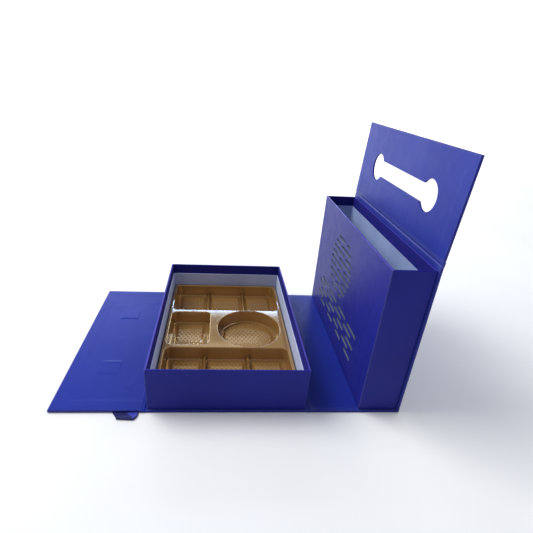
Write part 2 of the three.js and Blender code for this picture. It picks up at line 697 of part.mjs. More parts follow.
// The back panel stands up, so its +X is the height and its inner side faces the cake box
const back = new THREE.Group();
back.position.set(BACK_AXIS_X, 0, AXIS_LEVEL);
back.rotation.y = -Math.PI / 2;
group.add(back);
addPanel(back, 'back', panelLayers(HALF_GAP, HANDLE_AXIS - HALF_GAP, false));
addGiftBox(back);

const handleFlap = new THREE.Group();
handleFlap.position.x = HANDLE_AXIS;
handleFlap.rotation.y = (HANDLE_FLAP_LEAN * Math.PI) / 180;
handleFlap.userData.far = 1;
back.add(handleFlap);
const handleLayers = panelLayers(HALF_GAP, HANDLE_FLAP_END, true);
const hole = handleHole();
handleLayers.board = handleLayers.board.subtract(hole);
handleLayers.wrap = handleLayers.wrap.subtract(hole);
handleLayers.liner = handleLayers.liner.subtract(hole);
addMagnets(handleFlap, 'handle_flap', handleLayers, HANDLE_MAGNET_FROM_HINGE);
addPanel(handleFlap, 'handle_flap', handleLayers);

piece(group, 'left_flap_hinge_paper', leftHingeStrip(), BLUE_WRAP);
const spineStripFrom = BASE_HALF + HINGE_STRIP_PLAY;
const spineStripTo = SPINE_AXIS_X + HALF_GAP - HINGE_STRIP_PLAY;
piece(group, 'spine_hinge_paper', flatStrip(spineStripFrom, spineStripTo, 0), BLUE_WRAP);
piece(group, 'back_hinge_paper', backHingeStrip(), BLUE_WRAP);
const handleStripFrom = HANDLE_AXIS - HALF_GAP + HINGE_STRIP_PLAY;
const handleStripTo = HANDLE_AXIS + HALF_GAP - HINGE_STRIP_PLAY;
piece(back, 'handle_flap_hinge_paper', flatStrip(handleStripFrom, handleStripTo, PANEL_BOTTOM), BLUE_WRAP);

export default group;
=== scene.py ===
import json
from collections import namedtuple
from math import acos, atan2, ceil, cos, exp, hypot, pi, radians, sin, sqrt, tan

import bmesh
import bpy
from mathutils import Matrix, Vector
from mathutils.geometry import delaunay_2d_cdt


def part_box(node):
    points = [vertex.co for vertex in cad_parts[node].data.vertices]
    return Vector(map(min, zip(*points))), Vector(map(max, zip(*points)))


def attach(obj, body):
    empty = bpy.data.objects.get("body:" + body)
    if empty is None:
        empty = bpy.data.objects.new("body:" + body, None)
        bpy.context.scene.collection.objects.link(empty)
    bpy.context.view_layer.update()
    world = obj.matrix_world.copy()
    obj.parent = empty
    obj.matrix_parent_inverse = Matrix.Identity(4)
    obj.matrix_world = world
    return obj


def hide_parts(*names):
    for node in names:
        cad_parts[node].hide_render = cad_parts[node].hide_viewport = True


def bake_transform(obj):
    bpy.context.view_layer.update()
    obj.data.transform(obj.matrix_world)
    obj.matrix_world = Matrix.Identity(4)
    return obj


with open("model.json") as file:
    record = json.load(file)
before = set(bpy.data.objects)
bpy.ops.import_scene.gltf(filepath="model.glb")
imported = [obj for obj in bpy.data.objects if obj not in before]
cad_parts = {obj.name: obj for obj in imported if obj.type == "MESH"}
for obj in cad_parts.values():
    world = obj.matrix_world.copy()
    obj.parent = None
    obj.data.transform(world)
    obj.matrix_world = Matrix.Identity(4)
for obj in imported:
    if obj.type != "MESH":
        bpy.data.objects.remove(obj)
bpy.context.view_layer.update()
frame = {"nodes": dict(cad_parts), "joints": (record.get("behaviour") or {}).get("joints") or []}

# Lengths are in millimetres and turned into metres when a mesh is made
MM = 0.001
TINY = 0.02
WELD = 0.002
QUARTER = pi / 2
SHARP = radians(40)

# Triangle filler: keeps the whole hull and joins points this close
WHOLE_HULL = 0
JOIN_GAP = 1e-5

# Sockets of the colour mix node
MIX_FACTOR, MIX_FIRST, MIX_SECOND, MIX_RESULT = 0, 6, 7, 2

# Panels
AXIS_LEVEL = 0.125
HANDLE_LEAN = radians(2.5)
PANEL_ROUND = 0.7
TURN_IN = 18.0
TURN_IN_STEP = 0.22
TURN_IN_BLUR = 0.9
LINER_INSET = 3.0
LINER_STEP = 0.1
LINER_BLUR = 0.4
MAGNET_RISE = 0.12
MARK_BLUR = 0.9
RELIEF_GRID = 1.3
FLAP_GRID = 2.2
PLAIN_GRID = 6.0

# Slow and quick waves of glued paper, in radians per millimetre, and the angles where they start
PAPER_WAVE = 0.02
SLOW_ALONG = 0.043
SLOW_ACROSS = 0.031
SLOW_STARTS = (0.7, 0.2)
QUICK_ALONG = 0.11
QUICK_ACROSS = 0.07
QUICK_START = 1.3
QUICK_SHARE = 0.5

# Dog-bone hole in the handle flap
HOLE_FROM_HINGE = 58.35
LOBE_RADIUS = 20.0
LOBE_SPACING = 166.0
HOLE_NECK = 23.5
HOLE_STEPS = 28

# Hinges; a groove has the shares of the way across where it starts and ends, then its depth
HINGE_STEPS = 24
HINGE_CREASE = 0.4
NO_GROOVE = (0.0, 1.0, 0.0)
LEFT_GROOVE = (0.0, 0.4, 1.0)
SPINE_GROOVE = (0.0, 1.0, 1.1)
HANDLE_GROOVE = (0.0, 0.55, 0.9)
FOLD_RADIUS = 1.2
FOLD_STEPS = 8

# Boxes
BOX_CORNER = 1.1
BOX_EDGE = 0.55
BOX_WALL = 2.7
RIM_TURN_IN = 24.0
ARC_STEPS = 4
CORNER_STEPS = 5
LINER_CARD = 1.5
LINER_TOP_EDGE = 0.35
LINER_CORNER = 0.4
LINER_CORNER_STEPS = 2

# Pierced moon over rippled water; a cut's ends are in walls from the face
SLIT_HEIGHT = 4.6
SLIT_PITCH = 10.5
SLIT_BRIDGE = 8.0
SLIT_END_STEPS = 8
SLIT_CUT = (-0.5, 1.5)
MOON_RADIUS = 50.0
MOON_ABOVE_CENTRE = 28.0
MOON_SIDEWAYS = 16.0
MOON_SPLIT = 1 / 3
RIPPLE_ROWS = 5
RIPPLE_BELOW_MOON = 9.0
RIPPLE_LENGTH = 42.0
RIPPLE_SHRINK = 3.0
RIPPLE_STAGGER = 17.0
RIPPLE_COUNT = 4

# Formed tray
TRAY_SKIN = 0.6
TRAY_DRAFT = radians(4)
TRAY_RIM = 5.0
TRAY_RIB = 8.5
TRAY_CORNER = 6.0
TRAY_FLOOR_RISE = 0.8
CELL_CORNER = 8.0
CELL_LEAST_CORNER = 1.0
CELL_STEPS = 6
MIDDLE_WIDTH = 65.0
MIDDLE_DEPTH = 90.0
ROUND_CELL_RADIUS = 51.0
ROUND_CELL_STEPS = 24
PARTITION_SPACING = 66.0
PARTITION_HEIGHT = 7.0
PARTITION_FOOT = 6.0
PARTITION_CREST = 1.6
PARTITION_SHOULDER = 1.4
PARTITION_FOOT_ROUND = 1.2
PARTITION_FOOT_RISE = 0.5
PARTITION_SINK = 0.3
RIM_ROUND = 1.5
FLOOR_ROUND = 1.6
ROUND_STEPS = 5
ROUND_TURNS = [QUARTER * step / ROUND_STEPS for step in range(ROUND_STEPS + 1)]
TRAY_HOLD = 0.35
TRAY_ROW_HOLD = 0.9
TRAY_SHARP = radians(60)
SKIRT_STEPS = 8

# Embossed lattice of the tray's floors; its flat share is counted in bars
LATTICE_MARGIN = 5.0
LATTICE_RISE = 0.5
LATTICE_WIDTH = 6.9
LATTICE_DEPTH = 11.2
LATTICE_PITCH = LATTICE_WIDTH * LATTICE_DEPTH / hypot(LATTICE_WIDTH, LATTICE_DEPTH)
LATTICE_HALF_BAR = 1.25
LATTICE_FLAT = LATTICE_HALF_BAR / LATTICE_PITCH
LATTICE_HEIGHT = 0.42
LATTICE_CROWN = 2.0
CROWN_TOP = 0.6
CROWN_EASE = 4.0
LATTICE_FADE = 1.5
LATTICE_EDGE = 0.4
LATTICE_CORNER = 4.0
LATTICE_DIGITS = 4

# Ribbon handle
RIBBON_WIDTH = 30.0
RIBBON_THICKNESS = 0.3
RIBBON_PLAY = 0.2
RIBBON_ANCHOR = 62.0
RIBBON_SPACING = 144.0
RIBBON_BEND = 0.5
LEG_STEPS = 10
RIBBON_ACROSS = 24
LOOP_FROM_HINGE = 20.0
LOOP_REACH = 12.4
LOOP_RADIUS = 1.4
LOOP_TURN = radians(16)
LOOP_STEPS = 24
LOOP_SQUARE = radians(17)
LOOP_WIDTH = 0.66
LOOP_SHIFT = 3.8
FACET = 0.44
FACET_LEAST = 0.04
FACET_COLUMNS = 10
FACET_RISE = 2.4

# Ribbon ends and their marks in the left flap's lining
TAB_LENGTH = 28.0
TAB_SINK = 0.1
TAB_RISE = 0.5
TAB_FADE = 0.45
TAB_FADE_START = 4.0
TAB_END_BLUR = 3.0
TAB_RIDGE = 0.35
TAB_RIDGE_PLACE = 1.0
TAB_RIDGE_WIDTH = 1.9

# Softened edges of the CAD solids that show
MAGNET_EDGE = 0.15
GIFT_LINER_EDGE = 0.25
SOLID_EDGE_SEGMENTS = 2

# Floor that sweeps up into a backdrop
STAGE_REACH = 4000.0
STAGE_SIDE = 6000.0
STAGE_BEND = 700.0
STAGE_BEND_STEPS = 16
STAGE_RISE = 1300.0

# Soft boxes, in metres and watts: place, target, width and height, power, colour
WHITE = (1.0, 1.0, 1.0)
LAMPS = {
    "window": ((0.04, 2.0, 1.213), (0.0, 0.0, 0.06), (0.9, 0.11), 4.4, (0.24, 0.46, 1.0)),
    "panel": ((-0.015, 1.7, 1.446), (0.0, -0.01, 0.034), (0.63, 0.132), 0.28, (0.7, 0.85, 1.0)),
    "horizon_left": ((-0.87, 2.0, 1.1), (-0.1, 0.0, 0.05), (0.7, 0.4), 5.0, (0.8, 0.95, 1.0)),
    "horizon_right": ((0.8, 2.0, 1.15), (0.17, 0.0, 0.0), (0.4, 0.3), 3.5, (0.75, 0.92, 1.0)),
    "sky": ((-1.35, 0.5, 2.0), (0.0, 0.0, 0.05), (1.6, 1.4), 50.0, WHITE),
    "fill": ((1.1, 0.3, 1.5), (0.0, 0.0, 0.05), (1.2, 1.0), 7.0, WHITE),
    "backdrop": ((0.0, 2.6, 2.0), (0.0, 3.9, 0.4), (7.0, 0.8), 170.0, WHITE),
}
UNMIRRORED_LAMP = "sky"
WORLD_COLOUR = (0.92, 0.95, 1.0, 1.0)
WORLD_STRENGTH = 0.33

# Camera, from the photograph's own vanishing lines; the picture is square
PICTURE = 533.0
FOCAL_PIXELS = 384.82
CAMERA_PLACE = (-16.58, -526.14, 396.02)
CAMERA_AZIMUTH = radians(-4.300)
CAMERA_ELEVATION = radians(26.615)
CAMERA_ROLL = radians(3.254)
CAMERA_CENTRE = (243.57, 271.61)
SENSOR = 36.0


# Mesh helpers

def box_of(node):
    """A CAD node's lowest and highest corners, in millimetres."""
    low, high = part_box(node)
    return low / MM, high / MM


def spans(node, place):
    """A CAD node's least and greatest coordinates in a panel's own frame."""
    turned = place.inverted()
    points = [(turned @ vertex.co) / MM for vertex in frame["nodes"][node].data.vertices]
    return [(min(p[axis] for p in points), max(p[axis] for p in points)) for axis in range(3)]


def shown(name, data):
    """A new object in the scene."""
    made = bpy.data.objects.new(name, data)
    bpy.context.scene.collection.objects.link(made)
    return made


def new_piece(name, points, faces, materials, place=Matrix(), indices=None, sharp=SHARP):
    """A smooth-shaded mesh from points in millimetres, set down by place."""
    mesh = bpy.data.meshes.new(name)
    mesh.from_pydata([place @ (Vector(point) * MM) for point in points], [], faces)
    for material in materials:
        mesh.materials.append(material)
    if indices:
        mesh.polygons.foreach_set("material_index", indices)
    mesh.polygons.foreach_set("use_smooth", [True] * len(mesh.polygons))
    mesh.set_sharp_from_angle(angle=sharp)
    return shown(name, mesh)


def evened(piece):
    """Keeps large flat faces evenly shaded beside rounded edges."""
    weighted = piece.modifiers.new("weighted", "WEIGHTED_NORMAL")
    weighted.weight = 100
    weighted.keep_sharp = True


def rounded(piece, width, segments=3):
    """Softens a piece's sharp edges."""
    bevel = piece.modifiers.new("rounded", "BEVEL")
    bevel.width = width * MM
    bevel.segments = segments
    bevel.limit_method = "ANGLE"
    bevel.angle_limit = SHARP
    evened(piece)


def thickened(piece, thickness, offset):
    """Gives a sheet its thickness, on the side that the offset names."""
    thick = piece.modifiers.new("thickness", "SOLIDIFY")
    thick.thickness = thickness * MM
    thick.offset = offset


def baked(piece):
    """Applies a piece's modifiers to its mesh."""
    bpy.context.view_layer.update()
    graph = bpy.context.evaluated_depsgraph_get()
    mesh = bpy.data.meshes.new_from_object(piece.evaluated_get(graph))
    piece.modifiers.clear()
    piece.data = mesh


def ring(half_a, half_b, radius, steps, centre=(0.0, 0.0)):
    """A rounded rectangle, counter-clockwise."""
    points = []
    corners = ((1, 1), (-1, 1), (-1, -1), (1, -1))
    for quarter, (side_a, side_b) in enumerate(corners):
        for step in range(steps + 1):
            angle = (quarter + step / steps) * pi / 2
            a = centre[0] + side_a * (half_a - radius) + radius * cos(angle)
            b = centre[1] + side_b * (half_b - radius) + radius * sin(angle)
            points.append((a, b))
    return points


def stacked(profile, half, corner, steps, centre=(0.0, 0.0), base=0.0):
    """Rounded rectangles, one for each inset and level of a profile."""
    rings = []
    for inset, level in profile:
        radius = max(corner - inset, TINY)
        outline = ring(half[0] - inset, half[1] - inset, radius, steps, centre)
        rings.append([(a, b, base + level) for a, b in outline])
    return rings


def skin(rings, first=0):
    """Faces between closed rings of equal length, numbered from first."""
    count = len(rings[0])
    faces = []
    for level in range(len(rings) - 1):
        for i in range(count):
            here = first + level * count + i
            beside = first + level * count + (i + 1) % count
            faces.append((here, beside, beside + count, here + count))
    return faces


def inside(point, loop):
    """Whether a flat point lies inside a loop."""
    x, y = point
    found = False
    for (ax, ay), (bx, by) in zip(loop, loop[1:] + loop[:1]):
        if (ay > y) != (by > y) and x < (bx - ax) * (y - ay) / (by - ay) + ax:
            found = not found
    return found


def filled(outline, holes, extra=()):
    """Flat triangles that fill an outline round its holes, through any extra points."""
    points = []
    edges = []
    for loop in [outline, *holes]:
        first = len(points)
        points.extend(loop)
        edges.extend((first + i, first + (i + 1) % len(loop)) for i in range(len(loop)))
    points.extend(extra)
    found = delaunay_2d_cdt([Vector(point) for point in points], edges, [], WHOLE_HULL, JOIN_GAP)
    places = [tuple(point) for point in found[0]]
    faces = []
    for face in found[2]:
        middle = tuple(sum(places[i][axis] for i in face) / len(face) for axis in range(2))
        if inside(middle, outline) and not any(inside(middle, hole) for hole in holes):
            faces.append(tuple(face))
    return places, faces


def boundary(faces):
    """The edges that belong to one triangle only."""
    edges = [(face[i], face[(i + 1) % 3]) for face in faces for i in range(3)]
    known = set(edges)
    return [(start, end) for start, end in edges if (end, start) not in known]


def arc(centre, radius, start, end, steps):
    """Points of an arc from one angle to another, both included."""
    points = []
    for step in range(steps + 1):
        angle = start + (end - start) * step / steps
        points.append((centre[0] + radius * cos(angle), centre[1] + radius * sin(angle)))
    return points


def rectangle(span_a, span_b):
    """Four corners, counter-clockwise."""
    (a0, a1), (b0, b1) = span_a, span_b
    return [(a0, b0), (a1, b0), (a1, b1), (a0, b1)]


def steps_between(low, high, spacing):
    """Even steps strictly inside a span."""
    count = max(2, round((high - low) / spacing))
    return [low + (high - low) * i / count for i in range(1, count)]


def smooth(value, low, high):
    """A soft step from 0 at low to 1 at high."""
    share = min(max((value - low) / (high - low), 0.0), 1.0)
    return share * share * (3 - 2 * share)


# Material helpers

def feed(tree, made, inputs):
    """Sets a node's inputs, each to a value or to another node's output."""
    for key, value in inputs.items():
        if isinstance(value, bpy.types.NodeSocket):
            tree.links.new(value, made.inputs[key])
        else:
            made.inputs[key].default_value = value


def node(tree, kind, inputs, **settings):
    """Adds a node with its settings and inputs."""
    made = tree.nodes.new(kind)
    for key, value in settings.items():
        setattr(made, key, value)
    feed(tree, made, inputs)
    return made


def new_material(name):
    """A new material and its node tree."""
    material = bpy.data.materials.new(name)
    material.use_nodes = True
    return material, material.node_tree


def shaded(material, **sockets):
    """Feeds a material's shader; the sockets' names have underscores for spaces."""
    tree = material.node_tree
    inputs = {name.replace("_", " "): value for name, value in sockets.items()}
    feed(tree, tree.nodes["Principled BSDF"], inputs)
    return material


def places_of(tree, stretch=(1.0, 1.0, 1.0)):
    """Coordinates in metres, stretched along the axes."""
    source = node(tree, "ShaderNodeTexCoord", {}).outputs["Object"]
    return node(tree, "ShaderNodeMapping", {"Vector": source, "Scale": stretch}).outputs["Vector"]


def noise(tree, scale, detail=3.0, stretch=(1.0, 1.0, 1.0)):
    """Cloudy noise from 0 to 1."""
    inputs = {"Vector": places_of(tree, stretch), "Scale": scale, "Detail": detail}
    return node(tree, "ShaderNodeTexNoise", inputs).outputs["Fac"]


def mapped(tree, value, low, high, start=0.35, end=0.65):
    """A value spread from start..end to low..high."""
    inputs = {"Value": value, "From Min": start, "From Max": end, "To Min": low, "To Max": high}
    return node(tree, "ShaderNodeMapRange", inputs).outputs["Result"]


def cloud(tree, scale, low=0.0, high=1.0, detail=3.0):
    """Cloudy noise spread from low to high."""
    return mapped(tree, noise(tree, scale, detail), low, high)


def blended(tree, factor, first, second):
    """A mix of two colours, each a node's output or its red, green and blue."""
    inputs = {MIX_FACTOR: factor}
    for key, colour in ((MIX_FIRST, first), (MIX_SECOND, second)):
        inputs[key] = (*colour, 1.0) if isinstance(colour, tuple) else colour
    return node(tree, "ShaderNodeMix", inputs, data_type="RGBA").outputs[MIX_RESULT]


def toned(colour, gain, lift=0.0):
    """A colour made lighter or darker."""
    return tuple(channel * gain + lift for channel in colour)


def bumped(tree, height, distance, strength):
    """A bump's normal."""
    inputs = {"Height": height, "Distance": distance, "Strength": strength}
    return node(tree, "ShaderNodeBump", inputs).outputs["Normal"]


# Materials

def blue_paper(name, deep, light, rough_least, shine):
    """Satin blue paper: slow colour drift, faint fibres, lighter worn edges."""
    material, tree = new_material(name)
    base = blended(tree, cloud(tree, scale=9.0), deep, light)
    fibre = cloud(tree, scale=900.0, high=0.16, detail=6.0)
    fibred = blended(tree, fibre, base, toned(deep, gain=1.5, lift=0.004))
    edge = node(tree, "ShaderNodeNewGeometry", {}).outputs["Pointiness"]
    wear = mapped(tree, edge, low=0.0, high=0.35, start=0.53, end=0.6)
    colour = blended(tree, wear, fibred, toned(light, gain=0.75, lift=0.12))
    rough = cloud(tree, scale=70.0, low=rough_least, high=rough_least + 0.08)
    grain = bumped(tree, noise(tree, scale=1800.0, detail=4.0), distance=0.00006, strength=0.5)
    return shaded(material, Base_Color=colour, Roughness=rough, Normal=grain, Specular_IOR_Level=shine)


def card(name, dark, light, speck):
    """Grey card with pulp specks and a soft tooth."""
    material, tree = new_material(name)
    base = blended(tree, cloud(tree, scale=14.0), dark, light)
    pulp = noise(tree, scale=1300.0, detail=5.0)
    specks = mapped(tree, pulp, low=0.0, high=speck, start=0.5, end=0.75)
    colour = blended(tree, specks, base, toned(dark, gain=0.55))
    rough = cloud(tree, scale=120.0, low=0.6, high=0.78)
    tooth = bumped(tree, noise(tree, scale=1100.0, detail=5.0), distance=0.0001, strength=0.5)
    return shaded(material, Base_Color=colour, Roughness=rough, Normal=tooth, Specular_IOR_Level=0.35)


def gold_plastic(name):
    """Thin gold-coloured formed plastic under a clear gloss."""
    material, tree = new_material(name)
    drift = cloud(tree, scale=14.0, detail=1.0)
    base = blended(tree, drift, (0.405, 0.22, 0.065), (0.47, 0.265, 0.085))
    rough = cloud(tree, scale=30.0, low=0.09, high=0.13, detail=1.0)
    normal = bumped(tree, noise(tree, scale=35.0, detail=1.0), distance=0.002, strength=0.06)
    shaded(material, Metallic=0.55, Coat_Weight=1.0, Coat_Roughness=0.06)
    return shaded(material, Base_Color=base, Roughness=rough, Normal=normal)


def woven_ribbon(name, deep, light):
    """Blue ribbon with fine cross ribs."""
    material, tree = new_material(name)
    base = blended(tree, cloud(tree, scale=40.0), deep, light)
    inputs = {"Vector": places_of(tree), "Scale": 260.0, "Distortion": 0.4, "Detail": 1.0}
    ribs = node(tree, "ShaderNodeTexWave", inputs, bands_direction="Y").outputs["Fac"]
    furrows = mapped(tree, ribs, low=0.0, high=0.35, start=0.2, end=0.9)
    colour = blended(tree, furrows, base, toned(deep, gain=0.6))
    rough = cloud(tree, scale=300.0, low=0.45, high=0.6)
    weave = bumped(tree, ribs, distance=0.00012, strength=0.6)
    return shaded(material, Base_Color=colour, Roughness=rough, Normal=weave, Specular_IOR_Level=0.2)


def brushed_steel(name):
    """Plated steel with fine turned lines."""
    material, tree = new_material(name)
    lines = noise(tree, scale=400.0, detail=4.0, stretch=(1.0, 12.0, 1.0))
    colour = blended(tree, mapped(tree, lines, low=0.0, high=1.0), (0.5, 0.51, 0.53), (0.68, 0.68, 0.69))
    rough = mapped(tree, lines, low=0.22, high=0.4)
    normal = bumped(tree, lines, distance=0.00002, strength=0.5)
    return shaded(material, Base_Color=colour, Roughness=rough, Normal=normal, Metallic=1.0)


def pale_floor(name):
    """A matt, nearly white floor."""
    material, tree = new_material(name)
    drift = cloud(tree, scale=3.0)
    colour = blended(tree, drift, (0.91, 0.91, 0.92), (0.94, 0.94, 0.95))
    rough = mapped(tree, drift, low=0.75, high=0.85, start=0.0, end=1.0)
    return shaded(material, Base_Color=colour, Roughness=rough, Specular_IOR_Level=0.2)


wrap_paper = blue_paper("wrap_paper", (0.007, 0.010, 0.205), (0.010, 0.014, 0.245), 0.38, 0.15)
liner_paper = blue_paper("liner_paper", (0.0135, 0.027, 0.275), (0.018, 0.034, 0.312), 0.40, 0.18)
# The rim's paper is the wrap paper made lighter and more violet: a painted sheen where the rim catches the
# light.
rim_painted_sheen = blue_paper("rim_painted_sheen", (0.055, 0.045, 0.350), (0.070, 0.055, 0.390), 0.40, 0.18)
turned_paper = blue_paper("turned_paper", (0.017, 0.017, 0.185), (0.022, 0.022, 0.220), 0.60, 0.07)
liner_card = card("liner_card", (0.48, 0.54, 0.76), (0.57, 0.63, 0.85), 0.2)
gift_card = card("gift_card", (0.29, 0.38, 0.66), (0.37, 0.47, 0.76), 0.2)
grey_board = card("grey_board", (0.11, 0.13, 0.18), (0.16, 0.185, 0.24), 0.6)
tray_gold = gold_plastic("tray_gold")
# The ribbon's own dark blue, made darker still by painted shade on the loop that faces away from the
# light.
ribbon_blue_painted_shade = woven_ribbon("ribbon_blue_painted_shade", (0.020, 0.022, 0.115), (0.028, 0.030, 0.145))
# A much lighter copy of the same ribbon for its folded corner: painted light on the face turned toward the
# lamps.
ribbon_painted_lit_fold = woven_ribbon("ribbon_painted_lit_fold", (0.045, 0.055, 0.38), (0.065, 0.080, 0.48))
magnet_steel = brushed_steel("magnet_steel")


# Panels: rounded boards in blue wrap, each with its paper liner

def panel_place(point, along, inward):
    """A panel's own frame: x along it from its hinge axis, z from its outer face inward."""
    along = Vector(along)
    inward = Vector(inward)
    place = Matrix((along, inward.cross(along), inward)).transposed().to_4x4()
    place.translation = Vector(point)
    return place


def plate(name, outline, holes, bottom, top, place):
    """A flat board with holes."""
    flat, triangles = filled(outline, holes)
    count = len(flat)
    points = [(a, b, bottom) for a, b in flat] + [(a, b, top) for a, b in flat]
    faces = [tuple(reversed(face)) for face in triangles]
    faces += [tuple(i + count for i in face) for face in triangles]
    faces += [(start, end, end + count, start + count) for start, end in boundary(triangles)]
    return new_piece(name, points, faces, [wrap_paper], place)


def wave_height(a, b):
    """The slow unevenness of glued paper."""
    slow = sin(a * SLOW_ALONG + SLOW_STARTS[0]) * cos(b * SLOW_ACROSS + SLOW_STARTS[1])
    quick = QUICK_SHARE * sin(a * QUICK_ALONG + b * QUICK_ACROSS + QUICK_START)
    return PAPER_WAVE * (slow + quick)


def liner_relief(span_a, span_b, free_end, marks):
    """The height of a panel's inner face: liner over turned-in wrap, and marks."""
    def height(a, b):
        from_edge = min(b - span_b[0], span_b[1] - b)
        if free_end:
            from_edge = min(from_edge, span_a[1] - a)
        border = LINER_STEP * (smooth(from_edge, LINER_INSET - LINER_BLUR, LINER_INSET + LINER_BLUR) - 1)
        sunk = -TURN_IN_STEP * smooth(from_edge, TURN_IN - TURN_IN_BLUR, TURN_IN + TURN_IN_BLUR)
        return border + sunk + wave_height(a, b) + sum(mark(a, b) for mark in marks)
    return height


def magnet_mark(centre_a, centre_b, radius):
    """The faint disc of a magnet under the paper."""
    def height(a, b):
        away = hypot(a - centre_a, b - centre_b)
        return MAGNET_RISE * (1 - smooth(away, radius - MARK_BLUR, radius + MARK_BLUR))
    return height


def tab_mark(edge, inward):
    """The mark of a ribbon end under the paper: a ridge where it comes up, fading inward."""
    def height(a, b):
        across = smooth(RIBBON_WIDTH / 2 - abs(a - RIBBON_ANCHOR), -MARK_BLUR, MARK_BLUR)
        within = (b - edge) * inward
        fade = 1 - TAB_FADE * smooth(within, TAB_FADE_START, TAB_LENGTH)
        end = 1 - smooth(within, TAB_LENGTH - TAB_END_BLUR, TAB_LENGTH + TAB_END_BLUR)
        rise = smooth(within, -MARK_BLUR, MARK_BLUR) * end
        ridge = exp(-((within - TAB_RIDGE_PLACE) / TAB_RIDGE_WIDTH) ** 2)
        return across * (TAB_RISE * rise * fade + TAB_RIDGE * ridge)
    return height


def relief_sheet(name, outline, holes, spacing, level, thickness, height, place):
    """A thin sheet whose top follows a height, with its edges turned down."""
    a_values, b_values = zip(*outline)
    extra = []
    for a in steps_between(min(a_values), max(a_values), spacing):
        for b in steps_between(min(b_values), max(b_values), spacing):
            if not any(inside((a, b), hole) for hole in holes):
                extra.append((a, b))
    edge = []
    for (a0, b0), (a1, b1) in zip(outline, outline[1:] + outline[:1]):
        count = max(1, round(hypot(a1 - a0, b1 - b0) / spacing))
        edge.extend((a0 + (a1 - a0) * i / count, b0 + (b1 - b0) * i / count) for i in range(count))
    flat, faces = filled(edge, holes, extra)
    points = [(a, b, level + thickness + height(a, b)) for a, b in flat]
    border = boundary(faces)
    lower = {start: len(points) + i for i, (start, _) in enumerate(border)}
    points += [(a, b, top - thickness) for a, b, top in (points[start] for start in lower)]
    faces += [(end, start, lower[start], lower[end]) for start, end in border]
    return new_piece(name, points, faces, [liner_paper], place)


def dog_bone():
    """The handle hole in the flap's own frame, counter-clockwise: two round lobes and a neck."""
    reach = LOBE_SPACING / 2
    meet = acos(HOLE_NECK / 2 / LOBE_RADIUS)
    far = arc((HOLE_FROM_HINGE, reach), LOBE_RADIUS, -meet, pi + meet, HOLE_STEPS)
    near = arc((HOLE_FROM_HINGE, -reach), LOBE_RADIUS, pi - meet, 2 * pi + meet, HOLE_STEPS)
    return far + near


def joint_place(name):
    """A joint's place in metres."""
    return next(entry["pos_m"] for entry in frame["joints"] if entry["name"] == name)


panel_ends = {}


def panel(name, along, inward, joint=None, free_end=False, holes=(), marks=None, spacing=PLAIN_GRID):
    """A panel's wrapped board and its liner; keeps its ends' outer and inner corners in x and z."""
    place = panel_place(joint_place(joint) if joint else (0.0, 0.0, AXIS_LEVEL * MM), along, inward)
    wrap_a, wrap_b, wrap_n = spans(f"{name}_wrap", place)
    outline = rectangle(wrap_a, wrap_b)
    board = plate(f"{name}_cover", outline, holes, *wrap_n, place)
    rounded(board, PANEL_ROUND)
    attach(board, name)
    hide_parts(f"{name}_wrap", f"{name}_board")
    level = wrap_n[1]
    top = spans(f"{name}_liner", place)[2][1]
    levels = (wrap_n[0], top - TURN_IN_STEP)
    panel_ends[name] = [[(place @ (Vector((a, 0.0, n)) * MM)).xz / MM for n in levels] for a in wrap_a]
    end = wrap_a[1] - PANEL_ROUND if free_end else wrap_a[1]
    sides = (wrap_b[0] + PANEL_ROUND, wrap_b[1] - PANEL_ROUND)
    outline = rectangle((wrap_a[0], end), sides)
    height = liner_relief(wrap_a, wrap_b, free_end, marks(name, place) if marks else [])
    sheet = relief_sheet(f"{name}_lining", outline, holes, spacing, level, top - level, height, place)
    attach(sheet, name)
    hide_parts(f"{name}_liner")


def magnet_marks(flap, place):
    """Marks of a flap's two magnets, where the CAD has them."""
    marks = []
    for side in ("near", "far"):
        (a0, a1), (b0, b1), _ = spans(f"{flap}_magnet_{side}", place)
        marks.append(magnet_mark((a0 + a1) / 2, (b0 + b1) / 2, (a1 - a0) / 2))
    return marks


def left_flap_marks(flap, place):
    """Marks of the left flap's magnets and ribbon ends."""
    edge = RIBBON_SPACING / 2 - TAB_LENGTH / 2
    return magnet_marks(flap, place) + [tab_mark(edge, 1), tab_mark(-edge, -1)]


flap_up = (sin(HANDLE_LEAN), 0.0, cos(HANDLE_LEAN))
flap_in = (-cos(HANDLE_LEAN), 0.0, sin(HANDLE_LEAN))
panel("base", (1, 0, 0), (0, 0, 1))
panel("left_flap", (-1, 0, 0), (0, 0, 1), "left_flap_hinge", True, (), left_flap_marks, RELIEF_GRID)
panel("spine", (1, 0, 0), (0, 0, 1), "spine_hinge")
panel("back", (0, 0, 1), (-1, 0, 0), "back_hinge")
panel("handle_flap", flap_up, flap_in, "handle_flap_hinge", True, [dog_bone()], magnet_marks, FLAP_GRID)


# Hinges: the paper that bridges two panels, pressed into a groove on the inside

def groove_depth(share, groove):
    """How far a hinge's inner paper is pressed in, at a share of the way across."""
    start, end, deepest = groove
    local = (share - start) / (end - start)
    return deepest * smooth(local, 0.0, HINGE_CREASE) * smooth(1 - local, 0.0, HINGE_CREASE)


def hinge(name, first, second, groove=NO_GROOVE, outer_bend=None):
    """A paper hinge between two panels' ends, each given as its outer and inner corner."""
    outer = []
    inner = []
    for step in range(HINGE_STEPS + 1):
        share = step / HINGE_STEPS
        base = first[0].lerp(second[0], share)
        top = first[1].lerp(second[1], share)
        inner.append(top + (base - top).normalized() * groove_depth(share, groove))
        outer.append(base)
    outer = outer_bend or outer
    section = outer + inner[::-1]
    count = len(section)
    half_depth = box_of("base_wrap")[1].y
    points = [(p.x, side, p.y) for side in (-half_depth, half_depth) for p in section]
    faces = [(i, i + count, (i + 1) % count + count, (i + 1) % count) for i in range(count)]
    faces.append(tuple(range(count)))
    faces.append(tuple(reversed(range(count, 2 * count))))
    indices = [int(i >= len(outer) - 1) for i in range(count)] + [0, 0]
    piece = new_piece(f"{name}_fold", points, faces, [wrap_paper, liner_paper], indices=indices)
    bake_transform(piece)
    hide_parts(name)


